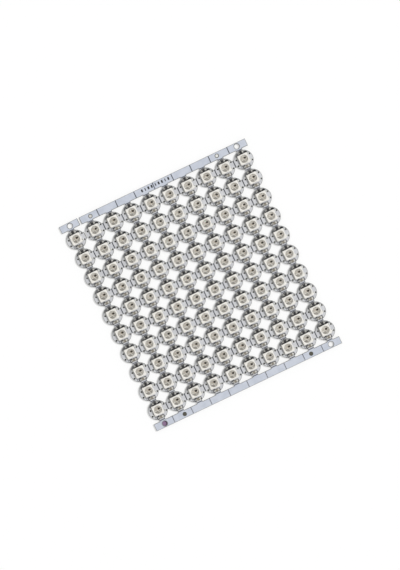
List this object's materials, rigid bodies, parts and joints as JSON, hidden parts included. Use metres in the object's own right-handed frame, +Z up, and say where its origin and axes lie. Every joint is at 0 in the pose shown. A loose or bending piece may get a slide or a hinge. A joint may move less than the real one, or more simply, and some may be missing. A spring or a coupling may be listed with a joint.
{
  "type": "panel of round addressable rgb led modules",
  "caption": "Flat factory panel of small round boards joined by scored tabs between two rails, each with a square colour LED, a chip capacitor and a chip resistor.",
  "frame": {"origin": "under the middle of the panel, on the face that it lies on", "axes": "+X along the two rails, +Y from the bottom rail to the rail with the snapped corner, +Z up through the LEDs"},
  "size_m": [0.1, 0.1101, 0.0028],
  "materials": {
    "white_laminate": "glass-fibre laminate under a satin white solder mask",
    "ivory_housing": "moulded ivory resin, satin",
    "tan_ceramic": "fired ceramic with tinned ends",
    "black_chip": "black glaze over ceramic with tinned ends"
  },
  "bodies": {
    "root": {"pcb_panel": "white_laminate", "led_housings_row_01": "ivory_housing", "capacitors_row_01": "tan_ceramic", "resistors_row_01": "black_chip", "led_housings_row_02": "ivory_housing", "capacitors_row_02": "tan_ceramic", "resistors_row_02": "black_chip", "led_housings_row_03": "ivory_housing", "capacitors_row_03": "tan_ceramic", "resistors_row_03": "black_chip", "led_housings_row_04": "ivory_housing", "capacitors_row_04": "tan_ceramic", "resistors_row_04": "black_chip", "led_housings_row_05": "ivory_housing", "capacitors_row_05": "tan_ceramic", "resistors_row_05": "black_chip", "led_housings_row_06": "ivory_housing", "capacitors_row_06": "tan_ceramic", "resistors_row_06": "black_chip", "led_housings_row_07": "ivory_housing", "capacitors_row_07": "tan_ceramic", "resistors_row_07": "black_chip", "led_housings_row_08": "ivory_housing", "capacitors_row_08": "tan_ceramic", "resistors_row_08": "black_chip", "led_housings_row_09": "ivory_housing", "capacitors_row_09": "tan_ceramic", "resistors_row_09": "black_chip", "led_housings_row_10": "ivory_housing", "capacitors_row_10": "tan_ceramic", "resistors_row_10": "black_chip"}
  },
  "joints": []
}
